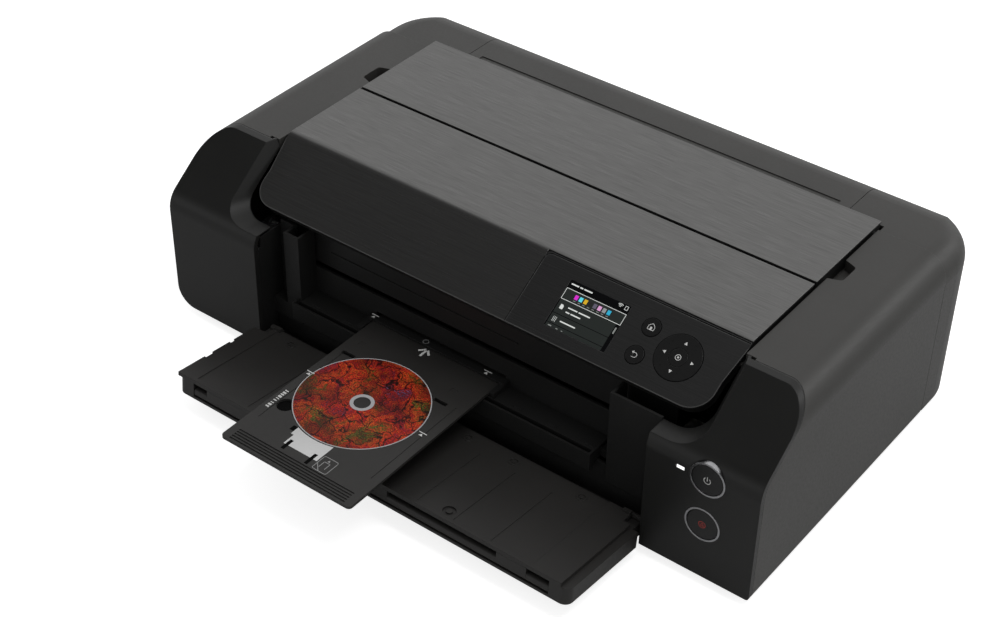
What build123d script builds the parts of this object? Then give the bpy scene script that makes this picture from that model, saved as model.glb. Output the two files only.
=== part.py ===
from build123d import *
import math
import os

os.makedirs("parts", exist_ok=True)

# Overall size, in millimetres
width = 639
depth = 379
side_height = 171.5
deck_top = 174.5
rear_height = 168
foot_height = 10
tray_reach = 161
rear_depth = 83
side_rear = depth - rear_depth
wall = 2.6

# Clearances
seam = 0.4
run_gap = 0.3
fit = 0.05

# Front faces of the two pillars
pillar_inner = 213
knee_height = 119.5
slope_angle = 37.2
knee_radius = 25
rim = 5
top_radius = 25
lower_radius = {-1: 20, 1: 3}
scoop_start = 2
scoop_depth = 13
scoop_run = 18
scoop_draft = 7.5
scoop_radius = 28
scoop_wall = 2.5

# Brushed deck and the sloping front
deck_half = 248.4
edge_inset = 0.8
lip_y = 30.6
lip_z = 135.2
deck_slope = 32.1
sheet = 2
deck_rear = 190.1
slope_length = (deck_top - lip_z) / math.sin(math.radians(deck_slope))
fold_y = lip_y + slope_length * math.cos(math.radians(deck_slope))
fold_radius = 12
slope_half = deck_half - 4.9
slope_corner = 22
taper_start = 32
taper_end = 66
panel_left = 46.4
frame_thickness = 3.5
skirt_depth = 10
ledge_top = 158.4
flange_x = deck_half + 2.2
ledge_inner = deck_half - 8.4
scoop_half = deck_half + 8.6

# Top cover and its hinge
lid_gap = 3.6
lid_front = deck_rear + lid_gap
lid_rear = side_rear + 9.1
lid_skin = 1.6
lid_hinge_y = side_rear - 3.5
lid_hinge_z = 168.5
lid_pin_radius = 2
lid_plate = 2.5

# Rear housing and the cover of the rear tray
housing_front = side_rear + 0.5
roll_radius = 34
low_radius = 5
plan_radius = 60
housing_bottom = 2
rear_opening_half = 213.6
rear_opening_front = side_rear + 12.2
cover_angle = 60
cover_thickness = 2
cover_pin_radius = 1

# Mouth between the pillars
mouth_left = -179
mouth_right = 162
mouth_back = 44
mouth_depth = 22
plate = 2.5

# Disc tray and disc
disc_radius = 60
disc_thickness = 1.2
disc_hole = 7.5
disc_x = -38.9
disc_y = -55.7
carrier_left = -105
carrier_right = 38
carrier_rear = 75
carrier_z = 55
carrier_thickness = 2.8

# Output tray, which slopes up towards its front edge
tray_half = 215
tray_rear_half = 209
tray_front = -105
tray_height = 20.5
tray_angle = 6
tray_hinge_y = 10
tray_hinge_z = 8
tray_pin_radius = 2.5

# Paper path and its rollers
feed_y = 205
feed_radius = 9
exit_y = 128
exit_radius = 7
roller_top = carrier_z - run_gap
pinch_radius = 4
star_radius = 5
feed_z = roller_top - feed_radius
exit_z = roller_top - exit_radius
nip_top = carrier_z + carrier_thickness + run_gap
pinch_z = nip_top + pinch_radius
star_z = nip_top + star_radius
pulley_radius = 14
motor_pulley_radius = 6
belt_width = 5
belt_thickness = 1.2
bracket_inner = 207
bracket_thickness = 3
motor_radius = 15
motor_length = 36
feed_motor_y = 95
feed_motor_z = 50

# Carriage, its rail and shaft
frame_x = width / 2 - 25.5
frame_thickness_x = 2.5
belt_x = 8 - frame_x
motor_plate_x = frame_x - 14
rail_y = 143
rail_top = 114
shaft_y = side_rear - 3
shaft_z = 120
shaft_radius = 5
carriage_x = frame_x - 69
carriage_width = 120
carriage_floor = 68
carriage_top = 150
tank_count = 8
tank_pitch = 14
belt_z = 98
belt_pulley_radius = 8
belt_pulley_x = frame_x - 24
belt_pulley_y = 130

# Chute behind the rollers
chute_half = 205
chute_z = 53
chute_bend_y = side_rear
chute_top_y = side_rear + 45
chute_top_z = 150

# Front of the housing and its lower edge, in the frame of the part
front = (tray_reach - depth) / 2
base = foot_height


def side_plane(x):
    """Plane across the width: local x runs back from the front face, local y runs up."""
    return Plane(origin=(x, front, base), x_dir=(0, 1, 0), z_dir=(1, 0, 0))


def front_plane(y):
    """Upright plane that faces the front: local x runs right, local y runs up."""
    return Plane(origin=(0, front + y, base), x_dir=(1, 0, 0), z_dir=(0, -1, 0))


def level_plane(z):
    """Level plane: local x runs right, local y runs back from the front face."""
    return Plane(origin=(0, front, base + z))


def tilted_plane(y, z, angle, height=0.0):
    """Plane that climbs backwards from a line across the width."""
    lean = math.radians(angle)
    normal = (0, -math.sin(lean), math.cos(lean))
    origin = (0, front + y + height * normal[1], base + z + height * normal[2])
    return Plane(origin=origin, x_dir=(1, 0, 0), z_dir=normal)


def slope_plane(height=0.0):
    return tilted_plane(lip_y, lip_z, deck_slope, height)


def block(xs, ys, zs, mode=Mode.ADD):
    """Box between two corners."""
    middle = ((xs[0] + xs[1]) / 2, front + (ys[0] + ys[1]) / 2, base + (zs[0] + zs[1]) / 2)
    with Locations(middle):
        Box(abs(xs[1] - xs[0]), abs(ys[1] - ys[0]), abs(zs[1] - zs[0]), mode=mode)


def rod_x(radius, xs, y, z, mode=Mode.ADD):
    with Locations(Location(((xs[0] + xs[1]) / 2, front + y, base + z), (0, 90, 0))):
        Cylinder(radius, abs(xs[1] - xs[0]), mode=mode)


def rod_y(radius, ys, x, z, mode=Mode.ADD):
    with Locations(Location((x, front + (ys[0] + ys[1]) / 2, base + z), (90, 0, 0))):
        Cylinder(radius, abs(ys[1] - ys[0]), mode=mode)


def rod_z(radius, zs, x, y, mode=Mode.ADD):
    with Locations((x, front + y, base + (zs[0] + zs[1]) / 2)):
        Cylinder(radius, abs(zs[1] - zs[0]), mode=mode)


def save(piece, name):
    piece.part.label = name
    export_step(piece.part, f"parts/{name}.step")


def side_outline(sign, inner, inset=0.0):
    """Outline of one side of the housing from the front, moved inwards by an inset."""
    outer = width / 2 - inset
    with BuildSketch() as outline:
        with Locations((sign * (inner + outer) / 2, side_height / 2)):
            Rectangle(outer - inner, side_height - 2 * inset)
        edge = outline.vertices().group_by(Axis.X)[-1 if sign > 0 else 0].sort_by(Axis.Y)
        fillet(edge[-1], top_radius - inset)
        lowest = outline.vertices().group_by(Axis.Y)[0].sort_by(Axis.X)
        corner = lowest[-1 if sign > 0 else 0]
        fillet(corner, max(lower_radius[sign] - inset, seam))
    return outline.sketch


def front_profile(inset, rear):
    """Pillar seen from the side: upright face, rounded knee and slope."""
    lean = math.radians(slope_angle)
    knee = knee_height - inset * (1 - math.sin(lean)) / math.cos(lean)
    top = (side_height - knee_height) / math.tan(lean) + inset / math.sin(lean)
    with BuildSketch() as profile:
        with BuildLine():
            Polyline((inset, 0), (inset, knee), (top, side_height), (rear, side_height),
                     (rear, 0), close=True)
        make_face()
        corner = profile.vertices().sort_by_distance((inset, knee, 0))[0]
        fillet(corner, knee_radius - inset)
    return profile.sketch


def front_band(sign, inner, margin, near, far):
    """Layer of the pillar between two insets of its front profile."""
    with BuildPart() as band:
        with BuildSketch(front_plane(-1)):
            add(side_outline(sign, inner, margin))
        extrude(amount=-100)
        with BuildSketch(side_plane(-width)):
            add(front_profile(near, 98))
            add(front_profile(far, 98), mode=Mode.SUBTRACT)
        extrude(amount=2 * width, mode=Mode.INTERSECT)
    return band.part


def scoop_form(grow):
    """Hollow round the sloping panel, narrower at its floor."""
    top = 150
    with BuildPart() as form:
        for height, half, start, radius in (
                (0.5, scoop_half, scoop_start, scoop_radius),
                (-scoop_depth, scoop_half - scoop_draft, scoop_start + scoop_run,
                 scoop_radius - 4)):
            with BuildSketch(tilted_plane(0, knee_height, slope_angle, height)):
                with Locations((0, (start - grow + top) / 2)):
                    RectangleRounded(2 * (half + grow), top - start + grow, radius + grow)
        loft()
    return form.part


def slope_outline(sign, inner, inset=0.0, top=slope_length):
    """Outline of one half of the sloping panel, measured up from its lip."""
    low = sign * (slope_half - inset)
    high = sign * (deck_half - inset)
    with BuildSketch() as outline:
        with BuildLine():
            Polyline((inner, inset), (low, inset), (low, taper_start), (high, taper_end),
                     (high, top), (inner, top), close=True)
        make_face()
        fillet(outline.vertices().sort_by_distance((low, inset, 0))[0], slope_corner - inset)
    return outline.sketch


def slope_waste(sign, inset):
    """What lies outside the outline of the sloping panel, as a sketch."""
    low = -5
    with BuildSketch() as waste:
        with Locations((sign * (slope_half - 20), (low + taper_end) / 2)):
            Rectangle(100, taper_end - low)
        add(slope_outline(sign, sign * (slope_half - 80), inset), mode=Mode.SUBTRACT)
    return waste.sketch


def deck_section(over, under, rear):
    """Bent layer below the deck's surface, between two depths."""
    lean = math.radians(deck_slope)
    with BuildSketch() as section:
        with BuildLine():
            points = []
            for cut in (over, under):
                points.append(((lip_y + cut * math.sin(lean), lip_z - cut * math.cos(lean)),
                               (fold_y + cut * math.tan(lean / 2), deck_top - cut),
                               (rear, deck_top - cut)))
            Polyline(*points[0], *reversed(points[1]), close=True)
        make_face()
        for cut, (_, bend, _) in zip((over, under), points):
            corner = section.vertices().sort_by_distance((bend[0], bend[1], 0))[0]
            fillet(corner, fold_radius - cut)
    return section.sketch


def rear_form(inset):
    """Body behind the side panels with all its upper edges rounded, moved inwards by an inset."""
    with BuildPart() as form:
        with BuildSketch(level_plane(housing_bottom + inset)) as plan:
            with Locations((0, (housing_front + depth - inset) / 2)):
                Rectangle(width - 2 * inset, depth - inset - housing_front)
            fillet(plan.vertices().group_by(Axis.Y)[-1], plan_radius - inset)
        extrude(amount=rear_height - housing_bottom - 2 * inset)
        upper = form.edges().group_by(Axis.Z)[-1].sort_by(Axis.Y)[1:]
        fillet(upper, top_radius - inset)
        with BuildSketch(side_plane(-width)) as profile:
            with Locations(((housing_front + depth - inset) / 2,
                            (housing_bottom + rear_height) / 2)):
                Rectangle(depth - inset - housing_front,
                          rear_height - housing_bottom - 2 * inset)
            back = profile.vertices().group_by(Axis.X)[-1].sort_by(Axis.Y)
            fillet(back[-1], roll_radius - inset)
            low = profile.vertices().group_by(Axis.Y)[0].sort_by(Axis.X)[-1]
            if inset < low_radius / 2:
                fillet(low, low_radius - inset)
        extrude(amount=2 * width, mode=Mode.INTERSECT)
    return form.part


# Buttons: where they sit and how they are guided
face_button_radius = 14.5
face_buttons = {"power_button": (271, 104.6), "stop_button": (270.5, 56.4)}
ring_outer = 16.6
panel_buttons = {"home_button": (166, 49), "back_button": (165.6, 22)}
small_button_radius = 8
dial_x = 200
dial_s = 35.3
dial_radius = 20.5
button_lift = 0.5
button_travel = 0.8
flange_top = sheet + run_gap
flange_thickness = 1.5
button_depth = sheet + frame_thickness
window_x = (80, 141)
window_s = (12.4, 57.6)
light_x = 246
light_z = 104.4

# Front covers of the pillars
cover_rear = 79.6
side_ledge_front = cover_rear + seam
scoop_cut = scoop_form(0)
scoop_shell = scoop_form(scoop_wall)


def scoop_lining(sign):
    """Wall round the scoop of one pillar, open at its floor where the deck lies."""
    reach = sorted((sign * pillar_inner, sign * (scoop_half + scoop_wall + 0.5)))
    with BuildPart() as lining:
        add(scoop_shell)
        add(scoop_cut, mode=Mode.SUBTRACT)
        with BuildSketch(side_plane(reach[0])):
            add(front_profile(0, cover_rear))
        extrude(amount=reach[1] - reach[0], mode=Mode.INTERSECT)
    return lining.part


ring_seat = 5
collar_rear = 7
with BuildPart() as collars:
    for x, z in face_buttons.values():
        rod_y(ring_outer + 2, (1, collar_rear), x, z)
    with BuildSketch(side_plane(0)):
        add(front_profile(0, 98))
    extrude(amount=width, mode=Mode.INTERSECT)
button_collars = collars.part

for side, sign in {"left": -1, "right": 1}.items():
    band = front_band(sign, pillar_inner, 0, 0, rim)
    pocket = front_band(sign, pillar_inner + 3, 3.5, wall, rim + 1)
    lining = scoop_lining(sign)
    with BuildPart() as cover:
        add(band)
        add(pocket, mode=Mode.SUBTRACT)
        add(scoop_cut, mode=Mode.SUBTRACT)
        add(lining)
        if side == "right":
            add(button_collars)
            for x, z in face_buttons.values():
                rod_y(ring_outer + fit, (-1, ring_seat), x, z, Mode.SUBTRACT)
                rod_y(face_button_radius + 0.6, (-1, collar_rear + 1), x, z, Mode.SUBTRACT)
            block((light_x - 3.6, light_x + 3.6), (-1, rim), (light_z - 1.6, light_z + 1.6),
                  Mode.SUBTRACT)
    save(cover, f"{side}_front_cover")

# Power and stop buttons with their bright rings, and the power light
for name, (x, z) in face_buttons.items():
    with BuildPart() as button:
        flange_front = collar_rear + run_gap
        rod_y(face_button_radius, (-0.2, flange_front + flange_thickness), x, z)
        rod_y(face_button_radius + 1.5, (flange_front, flange_front + flange_thickness), x, z)
        fillet(button.faces().sort_by(Axis.Y)[0].edges(), 0.8)
    save(button, name)

with BuildPart() as button_rings:
    for x, z in face_buttons.values():
        rod_y(ring_outer, (-0.3, ring_seat), x, z)
        rod_y(face_button_radius + 0.4, (-1, ring_seat + 1), x, z, Mode.SUBTRACT)
save(button_rings, "button_rings")

with BuildPart() as power_light:
    block((light_x - 3.5, light_x + 3.5), (-0.1, 3), (light_z - 1.5, light_z + 1.5))
save(power_light, "power_light")

# Side panels with the ledge that carries the deck, and the finger notch beside the lid
pan_edge = {-1: width / 2 - 21.5, 1: width / 2 - 4.5}
pan_top = 3
ledge_rear = side_rear - 10
notch = (207, 240)
notch_outer = flange_x + 12.4
notch_taper = 5
notch_radius = 4
notch_floor = 161
for side, sign in {"left": -1, "right": 1}.items():
    with BuildPart() as panel:
        with BuildSketch(front_plane(0)):
            add(side_outline(sign, flange_x))
            add(side_outline(sign, flange_x - 5, wall), mode=Mode.SUBTRACT)
        extrude(amount=-side_rear)
        block((sign * flange_x, sign * (flange_x + wall)), (side_ledge_front, side_rear),
              (ledge_top - 2.4, side_height))
        block((sign * ledge_inner, sign * (flange_x + wall)), (side_ledge_front, ledge_rear),
              (ledge_top - 2.4, ledge_top))
        block((sign * flange_x, sign * (notch_outer + wall)), (notch[0] - 4, notch[1] + 4),
              (notch_floor - wall, side_height - 1))
        with BuildSketch(level_plane(notch_floor)) as hollow:
            with BuildLine():
                Polyline((sign * (flange_x - 1), notch[0]),
                         (sign * notch_outer, notch[0] + notch_taper),
                         (sign * notch_outer, notch[1] - notch_taper),
                         (sign * (flange_x - 1), notch[1]), close=True)
            make_face()
            outer = hollow.vertices().group_by(Axis.X)[-1 if sign > 0 else 0]
            fillet(outer, notch_radius)
        extrude(amount=side_height, mode=Mode.SUBTRACT)
        rod_x(lid_pin_radius + fit, (sign * (flange_x - 1), sign * (flange_x + wall)),
              lid_hinge_y, lid_hinge_z, Mode.SUBTRACT)
        block((sign * (flange_x - 1), sign * (scoop_half + scoop_wall + 0.7)),
              (-1, side_ledge_front), (knee_height, side_height + 1), Mode.SUBTRACT)
        block((sign * ledge_inner, sign * (pan_edge[sign] + seam)), (-1, side_rear + 1),
              (-1, pan_top + 0.2), Mode.SUBTRACT)
        with BuildSketch(side_plane(-width)) as trim:
            add(front_profile(rim + seam, side_rear))
            fillet(trim.vertices().sort_by_distance((side_rear, 0, 0))[0], 7)
        extrude(amount=2 * width, mode=Mode.INTERSECT)
    save(panel, f"{side}_side_panel")

# Brushed deck sheet, bent down at the front on its left part
with BuildPart() as deck_panel:
    with BuildSketch(side_plane(-deck_half)):
        add(deck_section(0, sheet, deck_rear))
    extrude(amount=2 * deck_half)
    block((panel_left, deck_half + 1), (0, fold_y + 0.1), (lip_z - 20, deck_top + 1),
          Mode.SUBTRACT)
    with BuildSketch(slope_plane(1)):
        add(slope_waste(-1, 0))
    extrude(amount=-5, mode=Mode.SUBTRACT)
save(deck_panel, "deck_panel")

# Carrier under the deck and the control panel
frame_half = deck_half - edge_inset
frame_under = sheet + frame_thickness
skirt = 2.5
frame_window = 2.4
exit_top = 81.5
brow_low = exit_top + 3.5
brow_rib = (-162, 50)
brow_rib_z = 101
with BuildPart() as deck_frame:
    with BuildSketch(side_plane(-frame_half)):
        add(deck_section(sheet, frame_under, deck_rear))
    extrude(amount=2 * frame_half)
    for sign in (-1, 1):
        with BuildSketch(slope_plane(1)):
            add(slope_waste(sign, edge_inset))
        extrude(amount=-10, mode=Mode.SUBTRACT)
        with BuildSketch(slope_plane(-sheet)):
            skirt_top = slope_length - 4
            add(slope_outline(sign, 0, edge_inset, skirt_top))
            add(slope_outline(sign, 0, edge_inset + skirt, skirt_top), mode=Mode.SUBTRACT)
        extrude(amount=-skirt_depth)
        block((sign * (ledge_inner - 1), sign * (frame_half + 1)),
              (side_ledge_front - seam, deck_rear),
              (100, ledge_top + run_gap), Mode.SUBTRACT)
        block((sign * (frame_half - skirt), sign * frame_half), (fold_y, deck_rear),
              (ledge_top + run_gap, deck_top - sheet - 1))
    block((-frame_half, frame_half), (deck_rear - skirt, deck_rear), (162, deck_top - sheet - 1))
    block((1 - pillar_inner, pillar_inner - 1), (mouth_back + 3, mouth_back + 5.5),
          (brow_low, 141))
    block(brow_rib, (mouth_back + 2, mouth_back + 4), (brow_rib_z, brow_rib_z + 1.5))
    with BuildSketch(slope_plane(-sheet)):
        for x, s in panel_buttons.values():
            with Locations((x, s)):
                Circle(small_button_radius + 2)
        with Locations((dial_x, dial_s)):
            Circle(dial_radius + 2)
        with Locations((sum(window_x) / 2, sum(window_s) / 2)):
            Rectangle(window_x[1] - window_x[0] + 2 * frame_window,
                      window_s[1] - window_s[0] + 2 * frame_window)
    extrude(amount=-frame_thickness - 1, mode=Mode.SUBTRACT)
save(deck_frame, "deck_frame")

# Control panel on the slope, its display and its buttons
with BuildPart() as control_panel:
    with BuildSketch(slope_plane()) as face:
        panel_top = slope_length - sheet * math.tan(math.radians(deck_slope)) - seam
        add(slope_outline(1, panel_left + seam, 0, panel_top))
        fillet(face.vertices().sort_by_distance((panel_left + seam, panel_top, 0))[0], 4)
        for x, s in panel_buttons.values():
            with Locations((x, s)):
                Circle(small_button_radius + run_gap, mode=Mode.SUBTRACT)
        with Locations((dial_x, dial_s)):
            Circle(dial_radius + run_gap, mode=Mode.SUBTRACT)
        with Locations((sum(window_x) / 2, sum(window_s) / 2)):
            Rectangle(window_x[1] - window_x[0], window_s[1] - window_s[0], mode=Mode.SUBTRACT)
    extrude(amount=-sheet)
save(control_panel, "control_panel")

with BuildPart() as display:
    for grow, over, under in ((-0.15, 0, sheet), (2, sheet, frame_under - 0.5)):
        with BuildSketch(slope_plane(-over)):
            with Locations((sum(window_x) / 2, sum(window_s) / 2)):
                Rectangle(window_x[1] - window_x[0] + 2 * grow,
                          window_s[1] - window_s[0] + 2 * grow)
        extrude(amount=over - under)
save(display, "display")


def panel_button(x, s, radius, drop, hole=0.0, bottom=button_depth):
    """Round button square to the slope, with a flange that stops it under the panel."""
    with BuildPart() as button:
        for size, over, under in ((radius, -button_lift, bottom),
                                  (radius + 1.5, drop, drop + flange_thickness)):
            with BuildSketch(slope_plane(-over)):
                with Locations((x, s)):
                    Circle(size)
            extrude(amount=over - under)
        if hole:
            with BuildSketch(slope_plane(1)):
                with Locations((x, s)):
                    Circle(hole)
            extrude(amount=-20, mode=Mode.SUBTRACT)
    return button


for name, (x, s) in panel_buttons.items():
    save(panel_button(x, s, small_button_radius, flange_top), name)
save(panel_button(dial_x, dial_s, dial_radius, flange_top, small_button_radius + 0.4), "dpad_ring")
ok_flange = button_depth + button_travel + run_gap
save(panel_button(dial_x, dial_s, small_button_radius, ok_flange,
                  bottom=ok_flange + flange_thickness), "ok_button")

# Top cover: brushed skin glued to a frame that turns on moulded pins
with BuildPart() as lid_panel:
    block((-deck_half, deck_half), (lid_front, lid_rear), (deck_top - lid_skin, deck_top))
save(lid_panel, "lid_panel")

lid_under = deck_top - lid_skin
with BuildPart() as lid_frame:
    block((-frame_half, frame_half), (lid_front, lid_rear), (lid_under - lid_plate, lid_under))
    block((-frame_half, frame_half), (lid_front, lid_front + skirt),
          (ledge_top + 8, lid_under - 1))
    block((-frame_half, frame_half), (lid_rear - 10, lid_rear), (164.5, lid_under - 1))
    for sign in (-1, 1):
        block((sign * (frame_half - 3), sign * frame_half), (lid_front, lid_hinge_y),
              (ledge_top + run_gap, lid_under - 1))
        block((sign * (frame_half - 6), sign * frame_half), (lid_hinge_y - 4, lid_hinge_y + 4),
              (164.5, lid_under - 1))
        rod_x(lid_pin_radius, (sign * (frame_half - 5), sign * (flange_x + wall - 0.2)),
              lid_hinge_y, lid_hinge_z)
save(lid_frame, "lid_frame")

# Rear housing: rounded shell with the trough behind the lid and the slot for paper
roll_y = depth - roll_radius
roll_z = rear_height - roll_radius
cover_path = roll_radius - cover_thickness
cover_hinge_y = roll_y + cover_path * math.cos(math.radians(cover_angle))
cover_hinge_z = roll_z + cover_path * math.sin(math.radians(cover_angle))
opening_angle = math.radians(cover_angle - 5.9)
trough_half = deck_half + 1.9
trough_floor = 152
inlet_x = 89.5 - width / 2
inlet_half = 16
inlet_z = (20, 44)
board_y = depth - 17
board_thickness = 1.6
board_x = (width / 2 - 199.5, width / 2 - 39.5)
board_z = (20, 110)
ports = {(board_x[0] + 37, 7): (26, 38), (board_x[0] + 64, 8): (26, 40)}
outer_form = rear_form(0)
inner_form = rear_form(wall)
with BuildPart() as rear_housing:
    add(outer_form)
    add(inner_form, mode=Mode.SUBTRACT)
    block((-trough_half, trough_half), (housing_front - 1, rear_opening_front),
          (trough_floor, rear_height + 1), Mode.SUBTRACT)
    block((-trough_half - wall, trough_half + wall), (housing_front, rear_opening_front),
          (trough_floor - 2, trough_floor))
    block((-trough_half, trough_half), (rear_opening_front - 2, rear_opening_front),
          (trough_floor - 2, 162))
    for sign in (-1, 1):
        block((sign * trough_half, sign * (trough_half + wall)),
              (housing_front, rear_opening_front), (trough_floor - 2, rear_height - 1))
        rod_x(cover_thickness - fit, (sign * rear_opening_half, sign * (rear_opening_half + 5)),
              cover_hinge_y, cover_hinge_z)
        block((sign * 150, sign * 185), (housing_front - 10, housing_front + 3),
              (pan_top, pan_top + 2))
        for z in (board_z[0] + 8, board_z[1] - 8):
            x = (board_x[0] + 8) if sign < 0 else (board_x[1] - 30)
            rod_y(3, (board_y + board_thickness, depth - wall + 0.5), x, z)
    with BuildSketch(side_plane(-rear_opening_half)):
        with BuildLine():
            far = 60
            Polyline((rear_opening_front, rear_height + 20), (rear_opening_front, 158.5),
                     (roll_y, roll_z), (roll_y + far * math.cos(opening_angle),
                                        roll_z + far * math.sin(opening_angle)),
                     (depth + 30, rear_height + 20), close=True)
        make_face()
    extrude(amount=2 * rear_opening_half, mode=Mode.SUBTRACT)
    for sign in (-1, 1):
        rod_x(cover_pin_radius + fit,
              (sign * (rear_opening_half - 1), sign * (rear_opening_half + 6)),
              cover_hinge_y, cover_hinge_z, Mode.SUBTRACT)
    block((inlet_x - inlet_half - 0.2, inlet_x + inlet_half + 0.2), (depth - 9, depth + 1),
          (inlet_z[0] - 0.2, inlet_z[1] + 0.2), Mode.SUBTRACT)
    for (x, half), (low, high) in ports.items():
        block((x - half - 0.2, x + half + 0.2), (depth - 9, depth + 1), (low - 0.2, high + 0.2),
              Mode.SUBTRACT)
save(rear_housing, "rear_housing")

# Cover of the rear tray, which follows the rolled edge and has a groove for the fingers
cover_half = rear_opening_half - 0.6
cover_front = rear_opening_front + run_gap
groove_width = 11
groove_depth = 0.9
groove_inset = 12
with BuildPart() as rear_tray_cover:
    with BuildSketch(side_plane(-cover_half)) as section:
        with Locations(((cover_front + roll_y) / 2, rear_height - cover_thickness / 2)):
            Rectangle(roll_y - cover_front, cover_thickness)
        with BuildLine():
            start = cover_angle
            for radius in (roll_radius, cover_path):
                CenterArc((roll_y, roll_z), radius, start, 90 - start)
            Line((roll_y, rear_height), (roll_y, rear_height - cover_thickness))
            Line((roll_y + cover_path * math.cos(math.radians(start)),
                  roll_z + cover_path * math.sin(math.radians(start))),
                 (roll_y + roll_radius * math.cos(math.radians(start)),
                  roll_z + roll_radius * math.sin(math.radians(start))))
        make_face()
        with Locations((cover_hinge_y, cover_hinge_z)):
            Circle(cover_thickness)
    extrude(amount=2 * cover_half)
    block((groove_inset - cover_half, cover_half - groove_inset),
          (cover_front - 1, cover_front + groove_width),
          (rear_height - groove_depth, rear_height + 1), Mode.SUBTRACT)
    for sign in (-1, 1):
        rod_x(cover_pin_radius, (sign * (cover_half - 1), sign * (rear_opening_half + 5)),
              cover_hinge_y, cover_hinge_z)
save(rear_tray_cover, "rear_tray_cover")

# Chute for the paper, the support behind it and the two guides on it
chute_lean = math.atan2(chute_top_z - chute_z, chute_top_y - chute_bend_y)
chute_along = (math.cos(chute_lean), math.sin(chute_lean))
chute_out = (-math.sin(chute_lean), math.cos(chute_lean))


def chute_point(along, out):
    """Point of the chute's slope: up along it, and out from its paper side."""
    return (chute_bend_y + along * chute_along[0] + out * chute_out[0],
            chute_z + along * chute_along[1] + out * chute_out[1])


chute_length = math.hypot(chute_top_y - chute_bend_y, chute_top_z - chute_z)
chute_bend = 40
with BuildPart() as paper_chute:
    with BuildSketch(side_plane(-chute_half)) as section:
        with BuildLine():
            Polyline((218, chute_z), (chute_bend_y, chute_z), chute_point(chute_length, 0),
                     chute_point(chute_length, -plate),
                     (chute_bend_y + plate * math.tan(chute_lean / 2), chute_z - plate),
                     (218, chute_z - plate), close=True)
        make_face()
        fillet(section.vertices().sort_by_distance((chute_bend_y, chute_z, 0))[0], chute_bend)
        fillet(section.vertices().sort_by_distance(
            (chute_bend_y + plate * math.tan(chute_lean / 2), chute_z - plate, 0))[0],
            chute_bend + plate)
    extrude(amount=2 * chute_half)
    for sign in (-1, 1):
        block((sign * 196, sign * 200), (230, 270), (pan_top, chute_z - 1))
save(paper_chute, "paper_chute")

support_half = 100
support_length = 86
support_top = (116 - chute_z) / chute_along[1]
with BuildPart() as paper_support:
    with BuildSketch(side_plane(-support_half)):
        with BuildLine():
            Polyline(*(chute_point(along, out) for along, out in (
                (support_top - support_length, -plate - run_gap),
                (support_top, -plate - run_gap),
                (support_top, -2 * plate - run_gap),
                (support_top - support_length, -2 * plate - run_gap))), close=True)
        make_face()
    extrude(amount=2 * support_half)
    fillet(paper_support.edges().filter_by(Plane.XY, reverse=True).sort_by(Axis.Z)[-2:], 1)
save(paper_support, "paper_support")

guide_x = 105
for side, sign in {"left": -1, "right": 1}.items():
    with BuildPart() as guide:
        near, far = sorted((sign * guide_x, sign * (guide_x + 22)))
        for low, high, wide in ((run_gap, 2, (near, far)),
                                (run_gap, 12, sorted((sign * guide_x, sign * (guide_x + 3))))):
            with BuildSketch(side_plane(wide[0])):
                with BuildLine():
                    Polyline(*(chute_point(along, out) for along, out in (
                        (chute_length - 45, low), (chute_length - 2, low),
                        (chute_length - 2, high), (chute_length - 45, high))), close=True)
                make_face()
            extrude(amount=wide[1] - wide[0])
    save(guide, f"{side}_paper_guide")

# Mouth: walls with a recess on the left, exit panel, folded inner cover and floor behind it
wall_low = 26
wall_high = 124
wall_top = 117
recess_floor_z = 41.3
recess_width = {-1: 16, 1: 0}
recess_depth = 14
pan_wall = mouth_depth + plate + 0.5
for side, sign, inner in (("left", -1, mouth_left), ("right", 1, mouth_right)):
    edge = pillar_inner - run_gap
    face = edge - recess_width[sign]
    back = mouth_depth + (recess_depth if recess_width[sign] else 0)
    with BuildPart() as mouth_wall:
        block((sign * (pillar_inner + run_gap), sign * (pillar_inner + run_gap + plate)),
              (rim + 0.2, back + plate), (pan_top, 106))
        block((sign * (pillar_inner + run_gap), sign * (pillar_inner + run_gap + plate)),
              (rim + 4, back + plate), (pan_top, wall_top))
        block((inner, sign * face), (mouth_depth, mouth_depth + plate),
              (wall_low, wall_high - 1))
        block((inner, inner + sign * plate), (mouth_depth, mouth_back),
              (recess_floor_z, wall_high - 1))
        if recess_width[sign]:
            block((sign * face, sign * edge), (mouth_depth, mouth_depth + plate),
                  (wall_low, recess_floor_z))
            block((sign * (face - plate), sign * edge), (mouth_depth, back + plate),
                  (recess_floor_z, recess_floor_z + plate))
            block((sign * (face - plate), sign * face), (mouth_depth, back + plate),
                  (recess_floor_z, wall_high - 1))
            block((sign * (face - plate), sign * edge), (back, back + plate),
                  (recess_floor_z, wall_high - 1))
        block((sign * (edge - 1), sign * (pillar_inner + run_gap)), (back, back + plate),
              (recess_floor_z, wall_top))
        block((sign * (edge - 1), sign * (pillar_inner + run_gap)),
              (mouth_depth, mouth_depth + plate), (wall_low, recess_floor_z + plate))
        rod_x(tray_pin_radius + fit, (sign * pillar_inner, sign * (pillar_inner + 3)),
              tray_hinge_y, tray_hinge_z, Mode.SUBTRACT)
    save(mouth_wall, f"{side}_mouth_wall")

shelf_top = carrier_z - 1.5
shelf_rear = mouth_back + plate
slot_gap = 2
with BuildPart() as exit_panel:
    block((mouth_left - 13, mouth_right + 16), (mouth_back, shelf_rear), (shelf_top, exit_top))
    block((carrier_left - slot_gap, carrier_right + slot_gap), (mouth_back - 1, shelf_rear + 1),
          (shelf_top - 1, 63), Mode.SUBTRACT)
save(exit_panel, "exit_panel")

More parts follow.
